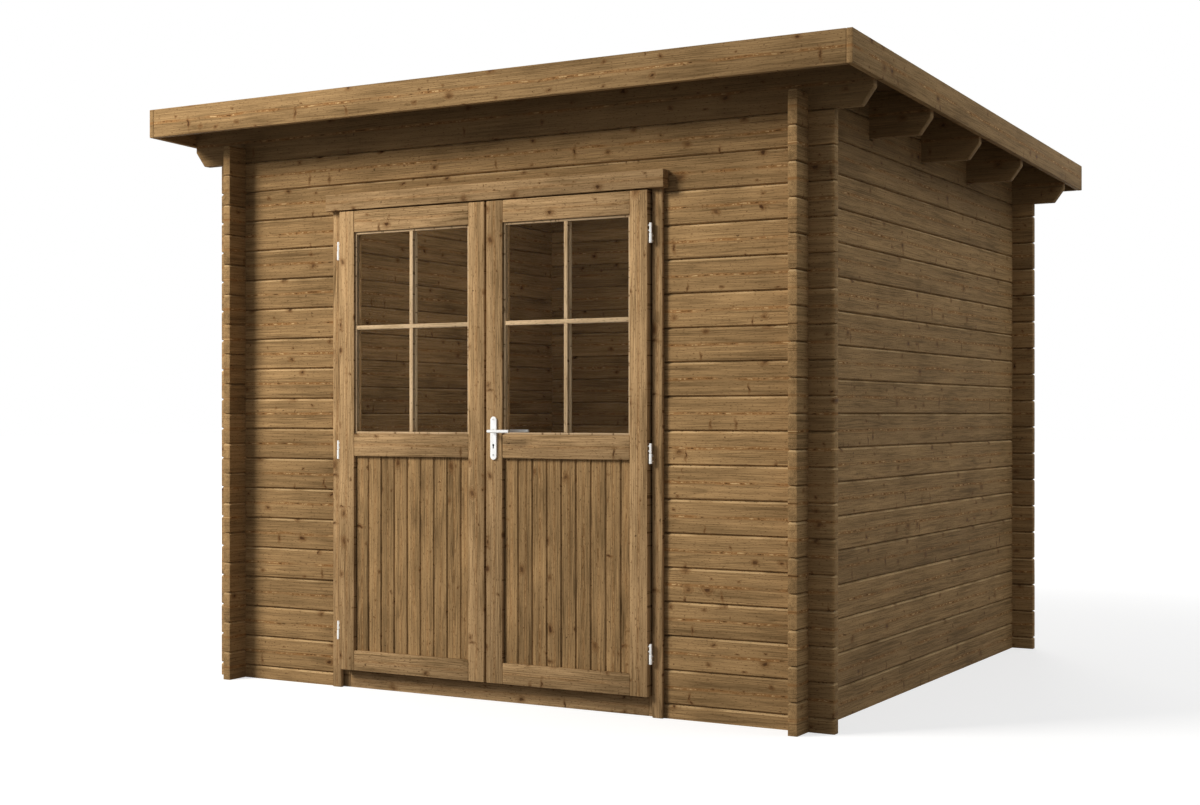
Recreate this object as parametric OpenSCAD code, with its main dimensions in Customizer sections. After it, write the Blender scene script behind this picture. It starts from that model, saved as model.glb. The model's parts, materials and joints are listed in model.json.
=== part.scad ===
// Log garden shed with crossing corners, a nearly flat roof on purlins and glazed double doors.
// Millimetres, +Z up, front towards -Y. The origin is on the ground under the middle of the roof.

/* [Logs] */
// Height of one log row
log_h = 117; // [90:1:160]
// Thickness of the wall logs
log_t = 34; // [28:1:70]
// Depth of the chamfer on each log edge
log_chamfer = 5; // [2:0.5:10]
// Height of the lowest log of the front and back walls
base_log_h = 50; // [30:1:80]
// How far the logs run past the crossing corners
corner_ext = 92; // [60:1:160]
// Whole log rows of the front wall over the doorway
rows_over_door = 1; // [1:1:4]

/* [House] */
// Width over the outer faces of the side walls
house_w = 2436; // [2000:1:4000]
// Depth over the outer faces of the front and back walls
house_d = 2380; // [1800:1:4000]

/* [Roof] */
// Overhang in front of the front wall
eave_front = 240; // [150:1:500]
// Overhang beside the side walls
eave_side = 248; // [150:1:400]
// Overhang behind the back wall
eave_rear = 210; // [120:1:400]
// Fall of the roof towards the back in degrees
roof_slope = 1.5; // [0.5:0.1:5]
// Thickness of the roof boards
board_t = 18; // [14:1:28]
// Gap between the roof boards and the walls and purlins under them
rest_gap = 0.1; // [0.05:0.05:0.5]
// Thickness of the roof felt
felt_t = 3; // [2:0.5:6]
// Height of the fascia top above the roof boards
fascia_up = 12; // [5:1:40]
// Thickness of the fascia boards
fascia_t = 22; // [14:1:34]
// Height of the fascia boards
fascia_h = 110; // [80:1:180]

/* [Purlins] */
// Thickness of the purlins
purlin_t = 34; // [28:1:70]
// Height of the purlins
purlin_h = 162; // [140:1:220]
// Distance between the front purlin and the ones behind it
purlin_pitch = 560; // [400:1:700]
// Number of purlins between the front and back walls
mid_purlins = 3; // [1:1:4]
// Length of the slanted cut under a purlin end
purlin_cut_x = 43; // [20:1:80]
// Height of the slanted cut under a purlin end
purlin_cut_z = 58; // [20:1:80]

/* [Doorway] */
// Middle of the doorway, to the left of the middle of the wall if negative
door_shift = -23; // [-200:1:200]
// Height of the leaves' lower edge above the ground
leaf_z = 72; // [60:1:120]
// Gap between the leaf and the casing beside it
leaf_gap = 7; // [5:0.5:12]
// Gap between the leaves and the head board over them
head_gap = 5; // [5:0.5:12]
// Gap between the two leaves
meet_gap = 8; // [6:0.5:14]
// Width of the casing boards beside the leaves
casing_w = 40; // [30:1:80]
// Thickness of the casing boards beside the leaves
casing_t = 16; // [12:1:24]
// Height of the head board
head_h = 62; // [40:1:90]
// Thickness of the head board
head_t = 42; // [16:1:60]
// How far the head board runs past the casing at each end
head_over = 16; // [0:1:40]
// Width of the jambs and the head
jamb_w = 40; // [30:1:60]
// How far the jambs stand into the room behind the logs
jamb_in = 20; // [5:1:40]
// How far a leaf covers the jamb behind it
leaf_cover = 19; // [10:1:26]
// Gap between a leaf and the jamb behind it
stop_gap = 6; // [5:0.5:10]
// Gap between the threshold and the leaves over it
threshold_gap = 10; // [6:1:20]

/* [Leaves] */
// Width of one leaf
leaf_w = 660; // [500:1:900]
// Height of the leaves
leaf_h = 1740; // [1600:1:1900]
// Thickness of the leaves
leaf_t = 40; // [34:1:56]
// How far the leaves stand out from the casing
leaf_proud = 22; // [10:1:30]
// Width of the stiles
stile_w = 70; // [50:1:110]
// Height of the top rail
top_rail = 81; // [60:1:120]
// Height of the middle rail
mid_rail = 85; // [60:1:140]
// Height of the bottom rail
bottom_rail = 76; // [60:1:160]
// Height of the middle rail's upper edge above the leaf's lower edge
mid_rail_z = 897; // [600:1:1100]
// Depth of the groove that holds the boards in the stiles and rails
seat = 8; // [5:1:15]
// Width of the lip behind the glass
glass_lip = 6; // [4:1:12]
// Thickness of the glass
glass_t = 4; // [3:0.5:6]
// Distance from the leaf's outer face to the glass
glass_in = 23; // [18:1:26]
// Width of the glazing beads
bead_w = 8; // [6:1:22]
// Distance from the leaf's outer face to the beads
bead_in = 8; // [3:1:12]
// Distance from the leaf's outer face to the boards of the lower half
panel_in = 13; // [6:1:18]
// Thickness of the boards of the lower half
panel_t = 14; // [10:1:18]

/* [Hinges] */
// Height of the lowest hinge's middle above the leaf's lower edge
hinge_low = 148; // [80:1:300]
// Height of the middle hinge's middle above the leaf's lower edge
hinge_mid = 835; // [600:1:1200]
// Distance of the top hinge's middle below the leaf's upper edge
hinge_top = 148; // [80:1:300]
// Height of one hinge
hinge_h = 70; // [50:1:120]
// Radius of the lower barrel, on the casing
barrel_r = 6; // [5:0.5:9]
// Radius of the upper barrel, on the leaf
barrel_up_r = 5; // [4.5:0.5:9]
// Gap between the two barrels of a hinge, and over its pin
barrel_gap = 1; // [0.5:0.5:3]
// Thickness of the upper barrel's closed end
barrel_cap = 5; // [3:0.5:8]
// Radius of the hinge pin
pin_r = 3; // [2:0.5:4]
// Radius of the studs that hold the barrels
stud_r = 3; // [2:0.5:4]
// Distance of the hinge axis from the leaf's edge
hinge_out = 9; // [7:0.5:14]
// Distance of the hinge axis behind the leaf's outer face
hinge_back = 8; // [4:0.5:12]

/* [Handle] */
// Height of the lever's axis above the leaf's lower edge
lever_z = 909; // [700:1:1100]
// Width of the back plate
plate_w = 26; // [20:1:40]
// Height of the back plate
plate_h = 156; // [120:1:240]
// Height of the back plate above the lever's axis
plate_over = 53; // [30:1:90]
// Thickness of the back plate
plate_t = 6; // [3:0.5:10]
// Distance from the back plate to the middle of the grip
lever_off = 40; // [30:1:60]
// Length of the grip from the lever's axis
lever_len = 92; // [70:1:140]
// Radius of the grip and its neck
lever_r = 6; // [5:0.5:9]
// Radius of the spindle through the leaf
spindle_r = 4; // [3:0.5:5]
// Clearance of turning pieces in their holes
turn_clear = 0.4; // [0.2:0.1:0.8]
// Height of the keyhole below the lever's axis
key_drop = 50; // [40:1:90]
// Radius of the keyhole's round part
key_r = 4; // [3:0.5:9]

/* [Hidden] */
$fn = 48;

// how far a cut runs past what it cuts
over = 1;

// heights of the doorway
leaf_top = leaf_z + leaf_h;
casing_top = leaf_top + head_gap;
head_z = leaf_top - leaf_cover;
cut_top = head_z + jamb_w;
threshold_h = leaf_z - threshold_gap;

// walls
wall_x = house_w / 2;
front_rows = ceil((cut_top - base_log_h) / log_h) + rows_over_door;
roof_d = eave_front + house_d + eave_rear;
y_front = eave_front - roof_d / 2;
y_back = y_front + house_d;
front_top = base_log_h + front_rows * log_h;
side_first = base_log_h + log_h / 2;

// roof
fall = tan(roof_slope);
roof_x = wall_x + eave_side;
roof_y0 = y_front - eave_front;
roof_y1 = y_back + eave_rear;
inner_x = roof_x - fascia_t;
under_z = front_top + purlin_h;
fascia_z = board_t + fascia_up;
rear_bottom = under(y_back - purlin_t) - purlin_h;

// widths and depths of the doorway
open_half = leaf_w + meet_gap / 2;
casing_half = open_half + leaf_gap;
jamb_half = open_half - leaf_cover;
cut_half = jamb_half + jamb_w;
y_face = y_front - casing_t - leaf_proud;
y_inner = y_face + leaf_t;
y_jamb0 = y_inner + stop_gap;
y_jamb1 = y_front + log_t + jamb_in;

// hinge axes and lever axis
axis_x = open_half + hinge_out;
axis_y = y_face + hinge_back;
hinge_zs = [leaf_z + hinge_low, leaf_z + hinge_mid, leaf_top - hinge_top];
lever_x = door_shift + meet_gap / 2 + stile_w / 2;
lever_h = leaf_z + lever_z;

// colours
wood = [0.60, 0.44, 0.27];
pale_wood = [0.68, 0.52, 0.33];
dark_wood = [0.42, 0.30, 0.18];
felt_grey = [0.22, 0.22, 0.22];
steel = [0.82, 0.83, 0.84];
pane = [0.55, 0.66, 0.66, 0.35];

// Height of the roof boards' underside at depth y.
function under(y) = under_z - (y - y_front) * fall;

// Height at depth y of what carries the roof boards.
function bearing(y) = under(y) - rest_gap;

// Extrudes a drawing of depth and height along the width.
module along_x(x0, x1) {
    translate([x0, 0, 0])
        rotate([90, 0, 90])
            linear_extrude(x1 - x0)
                children();
}

// Extrudes a drawing of width and height along the depth.
module along_y(y0, y1) {
    translate([0, y1, 0])
        rotate([90, 0, 0])
            linear_extrude(y1 - y0)
                children();
}

// A plain block between two corners.
module block(a, b) {
    translate(a)
        cube(b - a);
}

// Section of a log wall: a slab with a V-groove on both faces at each joint.
module log_section(height, first) {
    difference() {
        square([log_t, height]);
        for (z = [first : log_h : height + log_chamfer])
            for (x = [0, log_t])
                translate([x, z])
                    rotate(45)
                        square(log_chamfer * sqrt(2), center = true);
    }
}

// Half-lap notches of one crossing corner: quarters out of the top and bottom of each log.
module corner_notches(x0, y0, first, top) {
    for (z = [first - log_h : log_h : top + log_h])
        translate([x0, y0, z - log_h / 4])
            cube([log_t, log_t, log_h / 2]);
}

// A wall along the width with notches for the side walls at both ends.
module cross_wall(y0, top) {
    difference() {
        along_x(-wall_x - corner_ext, wall_x + corner_ext)
            translate([y0, 0])
                log_section(top, base_log_h);
        corner_notches(-wall_x, y0, base_log_h, top);
        corner_notches(wall_x - log_t, y0, base_log_h, top);
    }
}

// A side wall with notches for the front and back walls, slots for the purlins and a sloping top.
module side_wall(x0) {
    top = under_z + log_h;
    strip_z = side_first + front_rows * log_h;
    rear_strip_z = side_first + floor((rear_bottom - side_first) / log_h + 0.5) * log_h;
    difference() {
        along_y(y_front - corner_ext, y_back + corner_ext)
            translate([x0, 0])
                log_section(top, side_first);
        corner_notches(x0, y_front, side_first, top);
        corner_notches(x0, y_back - log_t, side_first, top);
        along_x(x0 - over, x0 + log_t + over)
            polygon([[roof_y0, bearing(roof_y0)], [roof_y1, bearing(roof_y1)],
                [roof_y1, top + log_h], [roof_y0, top + log_h]]);
        block([x0 - over, y_front - corner_ext - over, strip_z],
            [x0 + log_t + over, y_front + over, top + over]);
        block([x0 - over, y_back - over, rear_strip_z],
            [x0 + log_t + over, y_back + corner_ext + over, top + over]);
        for (y = purlin_ys())
            block([x0 - over, y, purlin_z(y)], [x0 + log_t + over, y + purlin_t, top + over]);
    }
}

// Front faces of all purlins, from the front wall to the back wall.
function purlin_ys() = concat([for (k = [0 : mid_purlins]) y_front + k * purlin_pitch],
    [y_back - purlin_t]);

// Lower edge of the purlin whose front face is at depth y.
function purlin_z(y) = under(y) - purlin_h;

// A purlin with its top cut to the roof's fall and its ends cut aslant below.
module purlin(y) {
    z = purlin_z(y);
    intersection() {
        along_x(-inner_x, inner_x)
            polygon([[y, z], [y + purlin_t, z], [y + purlin_t, bearing(y + purlin_t)], [y, bearing(y)]]);
        along_y(y - over, y + purlin_t + over)
            polygon([[-inner_x + purlin_cut_x, z], [inner_x - purlin_cut_x, z],
                [inner_x, z + purlin_cut_z], [inner_x, z + 2 * purlin_h],
                [-inner_x, z + 2 * purlin_h], [-inner_x, z + purlin_cut_z]]);
    }
}

// A layer of the roof between two heights above the underside, following the fall.
module roof_layer(x0, x1, y0, y1, z0, z1) {
    along_x(x0, x1)
        polygon([[y0, under(y0) + z0], [y1, under(y1) + z0], [y1, under(y1) + z1], [y0, under(y0) + z1]]);
}

// A casing board beside the leaves, under the head board.
module side_casing(side) {
    x = side > 0 ? door_shift + casing_half : door_shift - casing_half - casing_w;
    color(wood)
        block([x, y_front - casing_t, 0], [x + casing_w, y_front, casing_top]);
}

// A jamb beside the doorway.
module jamb(side) {
    x = side > 0 ? door_shift + jamb_half : door_shift - cut_half;
    color(wood)
        block([x, y_jamb0, 0], [x + jamb_w, y_jamb1, cut_top]);
}

// Left edge of a leaf.
function leaf_x(side) = side > 0 ? door_shift + meet_gap / 2 : door_shift - meet_gap / 2 - leaf_w;

// Openings of a leaf frame, glass above and boards below, widened by a margin.
module upper_opening(side, y0, y1, grow) {
    x = leaf_x(side);
    block([x + stile_w - grow, y0, leaf_z + mid_rail_z - grow],
        [x + leaf_w - stile_w + grow, y1, leaf_top - top_rail + grow]);
}

module lower_opening(side, y0, y1, grow) {
    x = leaf_x(side);
    block([x + stile_w - grow, y0, leaf_z + bottom_rail - grow],
        [x + leaf_w - stile_w + grow, y1, leaf_z + mid_rail_z - mid_rail + grow]);
}

// Stiles and rails of a leaf with the lip for the glass and the groove for the boards.
module leaf_frame(side) {
    x = leaf_x(side);
    y_glass = y_face + glass_in;
    y_panel = y_face + panel_in;
    color(wood)
        difference() {
            block([x, y_face, leaf_z], [x + leaf_w, y_inner, leaf_top]);
            upper_opening(side, y_face - over, y_glass + glass_t, 0);
            upper_opening(side, y_face, y_inner + over, -glass_lip);
            lower_opening(side, y_face - over, y_inner + over, 0);
            lower_opening(side, y_panel, y_panel + panel_t, seat);
            if (side > 0) {
                translate([lever_x, y_face - over, lever_h])
                    rotate([-90, 0, 0])
                        cylinder(r = spindle_r + turn_clear, h = leaf_t + 2 * over);
            }
        }
}

// Boards of the lower half.
module leaf_panel(side) {
    y_panel = y_face + panel_in;
    color(wood)
        lower_opening(side, y_panel, y_panel + panel_t, seat);
}

// Pane of glass, seated against the inner edge of the frame.
module leaf_glass(side) {
    y_glass = y_face + glass_in;
    color(pane)
        upper_opening(side, y_glass, y_glass + glass_t, 0);
}

// Beads that hold the glass from outside.
module leaf_beads(side) {
    y_glass = y_face + glass_in;
    color(pale_wood)
        difference() {
            upper_opening(side, y_face + bead_in, y_glass, 0);
            upper_opening(side, y_face, y_glass + over, -bead_w);
        }
}

// Lower barrels with their pins, held by studs on the casing.
module frame_hinges(side) {
    x = door_shift + side * axis_x;
    color(steel)
        for (z = hinge_zs) {
            translate([x, axis_y, z - hinge_h / 2])
                cylinder(r = barrel_r, h = hinge_h / 2);
            translate([x, axis_y, z - hinge_h / 2])
                cylinder(r = pin_r, h = hinge_h - barrel_cap - barrel_gap);
            for (dz = [-hinge_h * 3 / 8, -hinge_h / 8])
                translate([x, axis_y, z + dz])
                    rotate([-90, 0, 0])
                        cylinder(r = stud_r, h = y_front - casing_t - axis_y);
        }
}

// Upper barrels, bored for the pins and held by studs in the leaf's edge.
module leaf_hinges(side) {
    x = door_shift + side * axis_x;
    color(steel)
        for (z = hinge_zs)
            difference() {
                union() {
                    translate([x, axis_y, z + barrel_gap])
                        cylinder(r = barrel_up_r, h = hinge_h / 2 - barrel_gap);
                    for (dz = [hinge_h / 8, hinge_h * 3 / 8])
                        translate([x, axis_y, z + dz])
                            rotate([0, -90 * side, 0])
                                cylinder(r = stud_r, h = hinge_out);
                }
                translate([x, axis_y, z])
                    cylinder(r = pin_r + turn_clear, h = hinge_h / 2 - barrel_cap);
            }
}

// Back plate with round ends, a hole for the neck and a keyhole.
module plate(y0, y1) {
    r = plate_w / 2;
    top = lever_h + plate_over;
    color(steel)
        along_y(y0, y1)
            translate([lever_x, 0])
                difference() {
                    union() {
                        translate([-r, top - plate_h + r])
                            square([plate_w, plate_h - plate_w]);
                        for (z = [top - r, top - plate_h + r])
                            translate([0, z])
                                circle(r);
                    }
                    translate([0, lever_h])
                        circle(lever_r + turn_clear);
                    translate([0, lever_h - key_drop])
                        circle(key_r);
                    translate([-key_r / 2, lever_h - key_drop - 3 * key_r])
                        square([key_r, 3 * key_r]);
                }
}

// Neck and grip of one side, out of the plate towards dir.
module grip(y0, dir) {
    reach = plate_t + lever_off;
    translate([lever_x, y0, lever_h])
        rotate([dir > 0 ? -90 : 90, 0, 0])
            cylinder(r = lever_r, h = reach);
    translate([lever_x, y0 + dir * reach, lever_h])
        sphere(r = lever_r);
    translate([lever_x, y0 + dir * reach, lever_h])
        rotate([0, 90, 0])
            cylinder(r = lever_r, h = lever_len);
}

module front_wall_left() {
    color(wood)
        intersection() {
            cross_wall(y_front, front_top);
            block([-wall_x - 2 * corner_ext, y_front - over, -over],
                [door_shift - cut_half, y_front + log_t + over, front_top + over]);
        }
}

module front_wall_right() {
    color(wood)
        intersection() {
            cross_wall(y_front, front_top);
            block([door_shift + cut_half, y_front - over, -over],
                [wall_x + 2 * corner_ext, y_front + log_t + over, front_top + over]);
        }
}

module front_wall_over_door() {
    color(wood)
        intersection() {
            cross_wall(y_front, front_top);
            block([door_shift - cut_half, y_front - over, cut_top],
                [door_shift + cut_half, y_front + log_t + over, front_top + over]);
        }
}

module back_wall() {
    color(wood)
        cross_wall(y_back - log_t, rear_bottom);
}

module left_wall() {
    color(wood)
        side_wall(-wall_x);
}

module right_wall() {
    color(wood)
        side_wall(wall_x - log_t);
}

module front_purlin() {
    color(wood)
        purlin(y_front);
}

module middle_purlins() {
    color(wood)
        for (k = [1 : mid_purlins])
            purlin(y_front + k * purlin_pitch);
}

module rear_purlin() {
    color(wood)
        purlin(y_back - purlin_t);
}

module roof_boards() {
    color(dark_wood)
        roof_layer(-inner_x, inner_x, roof_y0 + fascia_t, roof_y1 - fascia_t, 0, board_t);
}

module roof_felt() {
    color(felt_grey)
        roof_layer(-inner_x, inner_x, roof_y0 + fascia_t, roof_y1 - fascia_t, board_t, board_t + felt_t);
}

module front_fascia() {
    color(wood)
        roof_layer(-inner_x, inner_x, roof_y0, roof_y0 + fascia_t, fascia_z - fascia_h, fascia_z);
}

module rear_fascia() {
    color(wood)
        roof_layer(-inner_x, inner_x, roof_y1 - fascia_t, roof_y1, fascia_z - fascia_h, fascia_z);
}

module left_fascia() {
    color(wood)
        roof_layer(-roof_x, -inner_x, roof_y0, roof_y1, fascia_z - fascia_h, fascia_z);
}

module right_fascia() {
    color(wood)
        roof_layer(inner_x, roof_x, roof_y0, roof_y1, fascia_z - fascia_h, fascia_z);
}

module left_jamb() {
    jamb(-1);
}

module right_jamb() {
    jamb(1);
}

module head_jamb() {
    color(wood)
        block([door_shift - jamb_half, y_jamb0, head_z], [door_shift + jamb_half, y_jamb1, cut_top]);
}

module threshold() {
    color(wood)
        block([door_shift - jamb_half, y_jamb0, 0], [door_shift + jamb_half, y_jamb1, threshold_h]);
}

module left_casing() {
    side_casing(-1);
}

module right_casing() {
    side_casing(1);
}

module head_casing() {
    reach = casing_half + casing_w + head_over;
    color(wood)
        block([door_shift - reach, y_front - head_t, casing_top],
            [door_shift + reach, y_front, casing_top + head_h]);
}

module left_frame_hinges() {
    frame_hinges(-1);
}

module right_frame_hinges() {
    frame_hinges(1);
}

module left_leaf_frame() {
    leaf_frame(-1);
}

module left_leaf_panel() {
    leaf_panel(-1);
}

module left_leaf_glass() {
    leaf_glass(-1);
}

module left_leaf_beads() {
    leaf_beads(-1);
}

module left_leaf_hinges() {
    leaf_hinges(-1);
}

module right_leaf_frame() {
    leaf_frame(1);
}

module right_leaf_panel() {
    leaf_panel(1);
}

module right_leaf_glass() {
    leaf_glass(1);
}

module right_leaf_beads() {
    leaf_beads(1);
}

module right_leaf_hinges() {
    leaf_hinges(1);
}

module outer_plate() {
    plate(y_face - plate_t, y_face);
}

module inner_plate() {
    plate(y_inner, y_inner + plate_t);
}

module lever() {
    color(steel) {
        grip(y_face - turn_clear, -1);
        grip(y_inner + turn_clear, 1);
        translate([lever_x, y_face - 2 * turn_clear, lever_h])
            rotate([-90, 0, 0])
                cylinder(r = spindle_r, h = leaf_t + 4 * turn_clear);
    }
}

front_wall_left();
front_wall_right();
front_wall_over_door();
back_wall();
left_wall();
right_wall();
front_purlin();
middle_purlins();
rear_purlin();
roof_boards();
roof_felt();
front_fascia();
rear_fascia();
left_fascia();
right_fascia();
left_jamb();
right_jamb();
head_jamb();
threshold();
left_casing();
right_casing();
head_casing();
left_frame_hinges();
right_frame_hinges();
left_leaf_frame();
left_leaf_panel();
left_leaf_glass();
left_leaf_beads();
left_leaf_hinges();
right_leaf_frame();
right_leaf_panel();
right_leaf_glass();
right_leaf_beads();
right_leaf_hinges();
outer_plate();
inner_plate();
lever();
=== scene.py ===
import json
import math
import random

import bmesh
import bpy
from mathutils import Matrix, Vector


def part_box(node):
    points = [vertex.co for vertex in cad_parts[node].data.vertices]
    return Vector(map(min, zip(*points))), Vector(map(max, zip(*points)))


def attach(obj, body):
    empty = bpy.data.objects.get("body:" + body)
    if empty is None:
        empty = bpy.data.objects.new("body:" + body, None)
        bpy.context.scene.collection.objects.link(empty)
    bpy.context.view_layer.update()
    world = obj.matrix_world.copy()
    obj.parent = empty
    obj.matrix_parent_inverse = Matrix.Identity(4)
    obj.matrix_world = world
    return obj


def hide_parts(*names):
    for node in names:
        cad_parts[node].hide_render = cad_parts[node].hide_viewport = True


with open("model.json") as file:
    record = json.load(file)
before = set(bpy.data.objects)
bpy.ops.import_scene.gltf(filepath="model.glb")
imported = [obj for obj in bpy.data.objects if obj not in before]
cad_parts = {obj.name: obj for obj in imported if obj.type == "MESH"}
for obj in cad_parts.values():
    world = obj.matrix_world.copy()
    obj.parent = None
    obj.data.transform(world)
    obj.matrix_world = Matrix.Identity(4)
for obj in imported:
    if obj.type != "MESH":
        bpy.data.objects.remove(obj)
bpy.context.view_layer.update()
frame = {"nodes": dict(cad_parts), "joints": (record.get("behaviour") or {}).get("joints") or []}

bl_info = {
    "name": "Log Garden Shed",
    "version": (1, 0, 0),
    "blender": (4, 5, 0),
    "location": "3D View > Sidebar > Shed",
    "description": "Builds the logs, roof, glazed doors and fittings of a log garden shed",
    "category": "Add Mesh",
}

X, Y, Z = (1, 0, 0), (0, 1, 0), (0, 0, 1)
PHOTO_W = 1200  # width of the photograph in pixels
TOUCH = 1e-6  # points closer than this, in metres, are in one place
SLACK = 1e-4  # a row, board or edge smaller than this, in metres, doesn't count


# Places taken from the frame

FRONT_LO, FRONT_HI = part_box("front_wall_over_door")
BACK_LO, BACK_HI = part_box("back_wall")
SIDE_LO, SIDE_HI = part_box("right_wall")
FASCIA_LO, FASCIA_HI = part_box("right_fascia")
BOARDS_LO, BOARDS_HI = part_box("roof_boards")
PURLIN_LO, PURLIN_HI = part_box("front_purlin")
MIDDLE_LO, MIDDLE_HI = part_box("middle_purlins")
REAR_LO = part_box("rear_purlin")[0]
DOOR_L, DOOR_R, DOOR_TOP = FRONT_LO.x, FRONT_HI.x, FRONT_LO.z
WALL_T = FRONT_HI.y - FRONT_LO.y
CROSS_X = BACK_HI.x
FALL = (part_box("front_fascia")[1].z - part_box("rear_fascia")[1].z) / (
    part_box("rear_fascia")[0].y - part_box("front_fascia")[0].y)
PURLIN_H = PURLIN_HI.z - PURLIN_LO.z


def under(y):
    """Height of the roof boards' underside at a depth."""
    return PURLIN_HI.z - (y - PURLIN_LO.y) * FALL


# Sizes and colours that a user may change

def length_prop(label, text, default, low, high):
    """A length in metres."""
    return bpy.props.FloatProperty(name=label, description=text, default=default,
                                   min=low, max=high, unit="LENGTH")


def colour_prop(label, text, default):
    """A colour of a finish."""
    return bpy.props.FloatVectorProperty(name=label, description=text, default=default,
                                         size=3, min=0, max=1, subtype="COLOR")


def power_prop(label, text, default, high):
    """A lamp's power."""
    return bpy.props.FloatProperty(name=label, description=text, default=default,
                                   min=0, max=high, subtype="POWER")


class ShedLogs(bpy.types.PropertyGroup):
    """Sizes of the wall logs."""

    height: length_prop("Log height", "Height of one log row", 0.117, 0.05, 0.3)
    base: length_prop(
        "Lowest log", "Height of the lowest log of the front and back walls",
        0.050, 0.02, 0.3)
    chamfer: length_prop(
        "Upper chamfer", "Width of the chamfer on the upper edges of a log",
        0.006, 0.001, 0.02)
    drip: length_prop(
        "Lower chamfer", "Width of the chamfer on the lower edges of a log",
        0.003, 0.0005, 0.02)
    end_edge: length_prop(
        "End edge", "Width of the softened edge round a log's end",
        0.0026, 0.0005, 0.01)
    gap: length_prop("Joint gap", "Open joint between the faces of two log rows", 0.004, 0.0, 0.008)


class ShedRoof(bpy.types.PropertyGroup):
    """Sizes of the roof's boards, felt and purlins."""

    plank: length_prop("Board width", "Cover width of a roof board", 0.0963, 0.06, 0.2)
    groove: length_prop(
        "Board groove", "Chamfer on the long edges of a roof board",
        0.003, 0.001, 0.01)
    cut_x: length_prop(
        "Purlin cut length", "Length of the slanted cut under a purlin end",
        0.043, 0.01, 0.1)
    cut_z: length_prop(
        "Purlin cut height", "Height of the slanted cut under a purlin end",
        0.058, 0.01, 0.12)
    middle: bpy.props.IntProperty(
        name="Middle purlins", description="Number of purlins between the front and the back",
        default=3, min=2, max=6)
    sheets: bpy.props.IntProperty(
        name="Felt sheets", description="Number of felt sheets from the front to the back",
        default=3, min=1, max=6)
    lap: length_prop("Felt lap", "Overlap of two felt sheets", 0.08, 0.02, 0.2)


class ShedDoor(bpy.types.PropertyGroup):
    """Sizes of the leaves, their boards and their glazing bars."""

    stile: length_prop("Stile", "Width of a stile", 0.070, 0.04, 0.12)
    board: length_prop("Board", "Cover width of a board in the lower half", 0.060, 0.03, 0.12)
    bar: length_prop("Glazing bar", "Width of a glazing bar", 0.0155, 0.008, 0.04)
    bar_z: length_prop(
        "Glazing bar height", "Height of the level glazing bar above the ground",
        1.370, 1.0, 1.7)
    edge: length_prop("Edge", "Rounding of the stiles' and rails' edges", 0.003, 0.0005, 0.006)


class ShedFinish(bpy.types.PropertyGroup):
    """Colours of the wood and felt."""

    light: colour_prop("Light wood", "Pale fibres of the treated wood", (0.425, 0.264, 0.119))
    dark: colour_prop("Dark wood", "Dark fibres of the treated wood", (0.150, 0.091, 0.039))
    panel_light: colour_prop(
        "Light panel board", "Pale fibres of the boards in the leaves",
        (0.430, 0.268, 0.122))
    panel_dark: colour_prop(
        "Dark panel board", "Dark fibres of the boards in the leaves",
        (0.105, 0.063, 0.027))
    board_light: colour_prop(
        "Light door frame", "Pale fibres of the stiles, rails and casing",
        (0.520, 0.335, 0.167))
    beam_light: colour_prop("Light purlin", "Pale fibres of the purlins", (0.330, 0.206, 0.093))
    fascia_light: colour_prop(
        "Light fascia", "Pale fibres of the fascia boards",
        (0.365, 0.230, 0.106))
    bar_light: colour_prop("Light bead", "Pale fibres of the glazing bars", (0.70, 0.52, 0.32))
    bar_dark: colour_prop("Dark bead", "Dark fibres of the glazing bars", (0.36, 0.24, 0.125))
    # The roof boards' colours are much darker than the other wood: painted shade for the dark
    # underside of the eaves
    roof_light: colour_prop(
        "Light roof board", "Pale fibres of the roof boards",
        (0.140, 0.084, 0.038))
    roof_dark: colour_prop(
        "Dark roof board", "Dark fibres of the roof boards",
        (0.060, 0.034, 0.0135))
    felt: colour_prop("Felt", "Colour of the felt's mineral grains", (0.055, 0.057, 0.060))


class ShedStage(bpy.types.PropertyGroup):
    """Camera and light."""

    camera: bpy.props.FloatVectorProperty(
        name="Camera", description="Place of the camera",
        default=(3.4007, -6.3987, 1.0420), size=3, subtype="TRANSLATION")
    swing: bpy.props.FloatProperty(
        name="Swing", description="Turn of the camera to the left of straight ahead",
        default=math.radians(29.6), subtype="ANGLE")
    focal: bpy.props.FloatProperty(
        name="Focal length", description="Focal length in picture widths",
        default=1715.25 / PHOTO_W, min=0.5, max=5)
    rise: bpy.props.FloatProperty(
        name="Rise", description="Upward shift of the picture in picture widths",
        default=11.8 / PHOTO_W, min=-0.2, max=0.2)
    key: power_prop("Key light", "Power of the large lamp at the front left", 920, 5000)
    fill: power_prop("Fill light", "Power of the large lamp at the right", 110, 5000)
    back: power_prop("Back light", "Power of the large lamp behind the shed", 260, 5000)
    room: power_prop("Room light", "Power of the soft lamp in the room", 15, 500)
    sky: bpy.props.FloatProperty(
        name="Sky", description="Strength of the light from all round",
        default=0.28, min=0, max=3)


# Timber

SOFT_ANGLE = 0.4  # edges that turn by more than this, in radians, are softened
BED_PARTS = 5  # the rim round a timber's bed is its thickness divided by this
NOTCH_SLANT = 0.0004  # lean of a notch's shoulders
SHARP_ANGLE = math.radians(35)  # edges that turn by more than this are shaded sharp


def bevelled(bm, edges, width, segments=1, clamp=False):
    """Bevels edges by a width."""
    bmesh.ops.bevel(bm, geom=edges, offset=width, offset_type="OFFSET", affect="EDGES",
                    segments=segments, profile=0.5, material=-1, clamp_overlap=clamp)


def softened(bm, width, segments=2):
    """Rounds all sharp edges."""
    edges = [e for e in bm.edges if e.is_manifold and e.calc_face_angle() > SOFT_ANGLE]
    bevelled(bm, edges, width, segments, clamp=True)


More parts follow.
